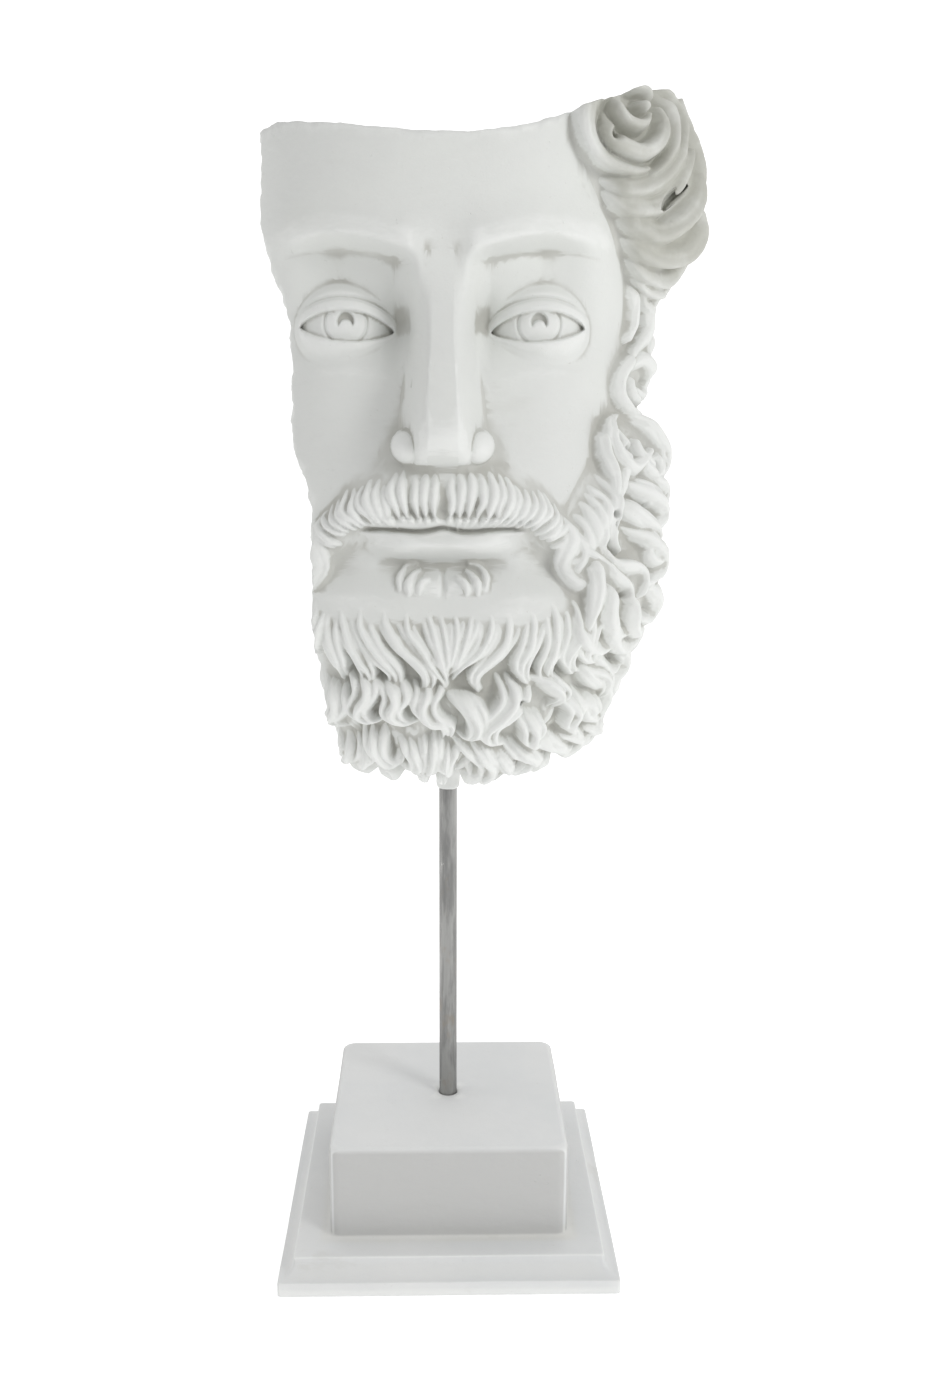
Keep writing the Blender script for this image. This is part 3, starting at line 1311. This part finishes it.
def addSlit():
    # a narrow drilled gap between two rolls of hair, wedge-shaped and aimed at the front
    count = slit["steps"]
    line = resampled(spline(slit["line"]), count)
    aim = np.array(slit["aim"])
    aim /= np.linalg.norm(aim)
    aside = np.cross(np.gradient(line, axis=0), aim)
    aside /= np.linalg.norm(aside, axis=1, keepdims=True)
    half = slit["halfWidth"] * np.sin(math.pi * np.linspace(0.06, 0.94, count)) ** 0.7
    rings = []
    for reach, share in slit["rings"]:
        middle = line + reach * aim
        edge = share * half[:, None] * aside
        rings.append(np.concatenate([middle + edge, (middle - edge)[::-1]]))
    around = 2 * count
    faces = []
    for i in range(count - 1):
        cap = (i, i + 1, around - 2 - i, around - 1 - i)
        faces += [cap, tuple(2 * around + corner for corner in cap)]
    for first in (0, around):
        for i in range(around):
            j = (i + 1) % around
            faces.append((first + i, first + j, first + around + j, first + around + i))
    piece = meshFrom("slit", np.concatenate(rings), faces)
    outwardFaces(piece)
    return piece


def cutBy(piece, cutter, operation):
    name = piece.name
    cut = piece.modifiers.new("cut", "BOOLEAN")
    cut.operation = operation
    cut.solver = "MANIFOLD"
    cut.object = cutter
    piece = plainCopy(piece, name)
    bpy.data.objects.remove(cutter)
    return piece


collar = {
    "section": [
        (0, 0, 254.6), (5.4, 5.4, 254.4), (6.1, 6.1, 255.2), (6.5, 6.5, 258), (6.8, 6.8, 262),
        (7.4, 7.4, 268), (9, 9, 274), (10, 10, 280), (0, 0, 282),
    ],
    "unevenness": 1.6,
    "noiseScale": 170.0,
    "seed": 4.0,
}


hollows = {
    "rounds": 14,
    "broadRounds": 70,
    "broadShare": 2.6,
    "softening": 0.7,
    "longEdge": 2,
    "hairFade": (0.018, 0.008),
}


def nearLocks(points, spines):
    # 1 on the hair, fading to 0 on the skin beside it
    tree = kdtree.KDTree(len(spines))
    for i, spine in enumerate(spines):
        tree.insert(spine, i)
    tree.balance()
    return rise(*hollows["hairFade"], np.array([tree.find(point)[2] for point in points]))


def addRecess(piece, depth, spines=None):
    # how deep each point lies in a hollow of the surface, from -1 on a ridge to 1, for the material
    mesh = piece.data
    count = len(mesh.vertices)
    points, normals = np.empty(count * 3), np.empty(count * 3)
    mesh.vertices.foreach_get("co", points)
    mesh.vertex_normals.foreach_get("vector", normals)
    points, normals = points.reshape(-1, 3), normals.reshape(-1, 3)
    ends = np.empty(len(mesh.edges) * 2, int)
    mesh.edges.foreach_get("vertices", ends)
    a, b = ends.reshape(-1, 2).T
    near = np.bincount(a, minlength=count) + np.bincount(b, minlength=count)

    def softened(soft, rounds):
        for _ in range(rounds):
            sums = [np.bincount(a, soft[b, i], count) + np.bincount(b, soft[a, i], count) for i in range(3)]
            soft = mix(soft, np.stack(sums, -1) / near[:, None], hollows["softening"])
        return soft

    def over(soft):
        return ((soft - points) * normals).sum(1) / mm

    soft = softened(points, hollows["rounds"])
    recess = over(soft) / depth
    if spines is not None:
        # the wide troughs between the locks count too, and long edges are made up for
        inHair = nearLocks(points, spines)
        recess += inHair * over(softened(soft, hollows["broadRounds"])) / (hollows["broadShare"] * depth)
        lengths = np.linalg.norm(points[a] - points[b], axis=1) / mm
        spacing = (np.bincount(a, lengths, count) + np.bincount(b, lengths, count)) / near
        recess *= np.clip(hollows["longEdge"] / spacing, 0, 1) ** 2
        setAttribute(piece, "inHair", inHair)
    setAttribute(piece, "recess", np.clip(recess, -1, 1))


def buildMask():
    piece, spines = addHead()
    print("head carved")
    piece = cutBy(piece, addOutline(), "INTERSECT")
    piece = cutBy(piece, addHollow(), "DIFFERENCE")
    piece = cutBy(piece, addSlit(), "DIFFERENCE")
    drip = swept("collar", collar["section"], plaster, collar, sideSteps=1, step=0.8)
    piece = cutBy(piece, drip, "UNION")
    piece = cutBy(piece, addRodHole(), "DIFFERENCE")
    print("head cut")
    piece.data.calc_loop_triangles()
    count = len(piece.data.loop_triangles)
    thin = piece.modifiers.new("thin", "DECIMATE")
    thin.ratio = min(1, fragment["triangles"] / count)
    piece = plainCopy(piece, "faceFragment")
    piece.data.shade_smooth()
    piece.data.materials.clear()
    piece.data.materials.append(plaster)
    addRecess(piece, fragment["recessDepth"], spines)
    print(count, "triangles thinned to", fragment["triangles"])
    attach(piece, "root")
    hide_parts("face_fragment")


buildMask()


# Rod and plinth

rod = {
    "radius": 5.0,
    "bottom": 32.5,
    "top": 332.0,
    "bevel": 0.4,
    "unevenness": 0.1,
    "noiseScale": 120.0,
    "seed": 8.0,
    "recessDepth": 0.5,
}


def buildRod():
    radius, bevel = rod["radius"], rod["bevel"]
    section = [
        (0, 0, rod["bottom"]),
        (radius - bevel, radius - bevel, rod["bottom"]),
        (radius, radius, rod["bottom"] + bevel),
        (radius, radius, rod["top"] - bevel),
        (radius - bevel, radius - bevel, rod["top"]),
        (0, 0, rod["top"]),
    ]
    piece = swept("supportRod", section, steel, rod, cornerSteps=14, sideSteps=1)
    addRecess(piece, rod["recessDepth"])
    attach(piece, "root")
    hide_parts("support_rod")
    print("rod built")


plinth = {
    "blockHalf": 65.0,
    "blockCorner": 6.0,
    "blockEdge": 3.5,
    "blockTop": 70.5,
    "upperHalf": 83.0,
    "upperTop": 18.5,
    "coveFillet": 3.0,
    "lowerHalf": 91.0,
    "lowerTop": 8.5,
    "footCorner": 1.6,
    "edge": 0.9,
    "blockFillet": 0.8,
    "holeRadius": 5.3,
    "holeChamfer": 0.5,
    "holeBottom": 32.2,
    "unevenness": 0.9,
    "noiseScale": 16.0,
    "seed": 2.0,
    "recessDepth": 1.2,
}


def plinthSection():
    # half widths and heights from the underside's edge up to the block's top, then the rod's hole
    p = plinth
    edge, fillet, chamfer = p["edge"], p["blockFillet"], p["holeChamfer"]
    coveTop = p["upperTop"] - p["coveFillet"]
    coveWidth = p["lowerHalf"] - edge - p["upperHalf"]
    foot = [(p["lowerHalf"] - edge, 0.0), (p["lowerHalf"], edge)]
    foot += arc(p["lowerHalf"], p["lowerTop"] - edge, edge, edge, 4)
    foot += arc(p["lowerHalf"] - edge, p["lowerTop"], coveWidth, coveTop - p["lowerTop"], 10, cove=True)
    foot += arc(p["upperHalf"], p["upperTop"] - edge, edge, edge, 4)
    block = [(p["blockHalf"] + fillet, p["upperTop"]), (p["blockHalf"], p["upperTop"] + fillet)]
    block += arc(p["blockHalf"], p["blockTop"] - p["blockEdge"], p["blockEdge"], p["blockEdge"], 8)
    hole = [
        (p["holeRadius"] + chamfer, p["blockTop"]),
        (p["holeRadius"], p["blockTop"] - chamfer),
        (p["holeRadius"], p["holeBottom"]),
        (0, p["holeBottom"]),
    ]
    section = [(0, 0, 0)] + [(half, p["footCorner"], height) for half, height in foot]
    section += [(half, p["blockCorner"], height) for half, height in block]
    return section + [(half, half, height) for half, height in hole]


def buildPlinth():
    piece = swept("plinthBlock", plinthSection(), plinthPlaster, plinth)
    addRecess(piece, plinth["recessDepth"])
    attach(piece, "root")
    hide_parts("plinth")
    print("plinth built")


buildRod()
buildPlinth()


# Studio

studio = {
    # ramps over a direction or a place: where they start, where they are full, and how strong they are
    "backdrop": (0.5, 0.9, 0.75),
    "sky": (0.0, 0.9, 0.84),
    "horizon": (0.7, 0.12, 0.42),
    "floorGlow": (-1.2, 0.3, 0.4),
    "floorSize": 6,
    "floorColour": (0.96, 0.96, 0.96, 1),
    "floorRoughness": 0.9,
    "white": (1, 1, 1, 1),
    # place, power and size
    "lamps": {
        "left": ((-1.6, 0.0, 0.9), 1.8, 0.7),
        "right": ((1.15, -1.05, 1.0), 7.9, 0.5),
    },
    "lampAim": (0, 0, 0.4),
}


def studioKit(tree, coordinates):
    add, maths, between = wiring(tree)
    along = add("ShaderNodeSeparateXYZ", add("ShaderNodeTexCoord")[coordinates])

    def ramp(axis, name):
        low, high, strength = studio[name]
        return between(along[axis], low, high, 0.0, strength)

    return maths, ramp


def addFloor():
    bpy.ops.mesh.primitive_plane_add(size=studio["floorSize"])
    floor = bpy.context.object
    floor.name = "floor"
    material = bpy.data.materials.new("paleFloor")
    material.use_nodes = True
    tree = material.node_tree
    _, ramp = studioKit(tree, "Object")
    feed(tree, tree.nodes["Principled BSDF"], {
        "Base Color": studio["floorColour"], "Roughness": studio["floorRoughness"],
        "Emission Color": studio["white"], "Emission Strength": ramp("Y", "floorGlow"),
    })
    floor.data.materials.append(material)


def addWorld():
    world = bpy.data.worlds.new("studio")
    world.use_nodes = True
    tree = world.node_tree
    maths, ramp = studioKit(tree, "Generated")
    total = maths("ADD", ramp("Y", "backdrop"), ramp("Z", "sky"))
    total = maths("ADD", total, ramp("Z", "horizon"))
    feed(tree, tree.nodes["Background"], {"Color": studio["white"], "Strength": total})
    scene.world = world
    scene.view_settings.view_transform = "Standard"


def addLamps():
    for name, (place, power, size) in studio["lamps"].items():
        data = bpy.data.lights.new(name, "AREA")
        data.energy = power
        data.size = size
        lamp = linked(name, data)
        lamp.location = place
        aim = Vector(studio["lampAim"]) - Vector(place)
        lamp.rotation_euler = aim.to_track_quat("-Z", "Y").to_euler()


addFloor()
addWorld()
addLamps()
print("studio set")
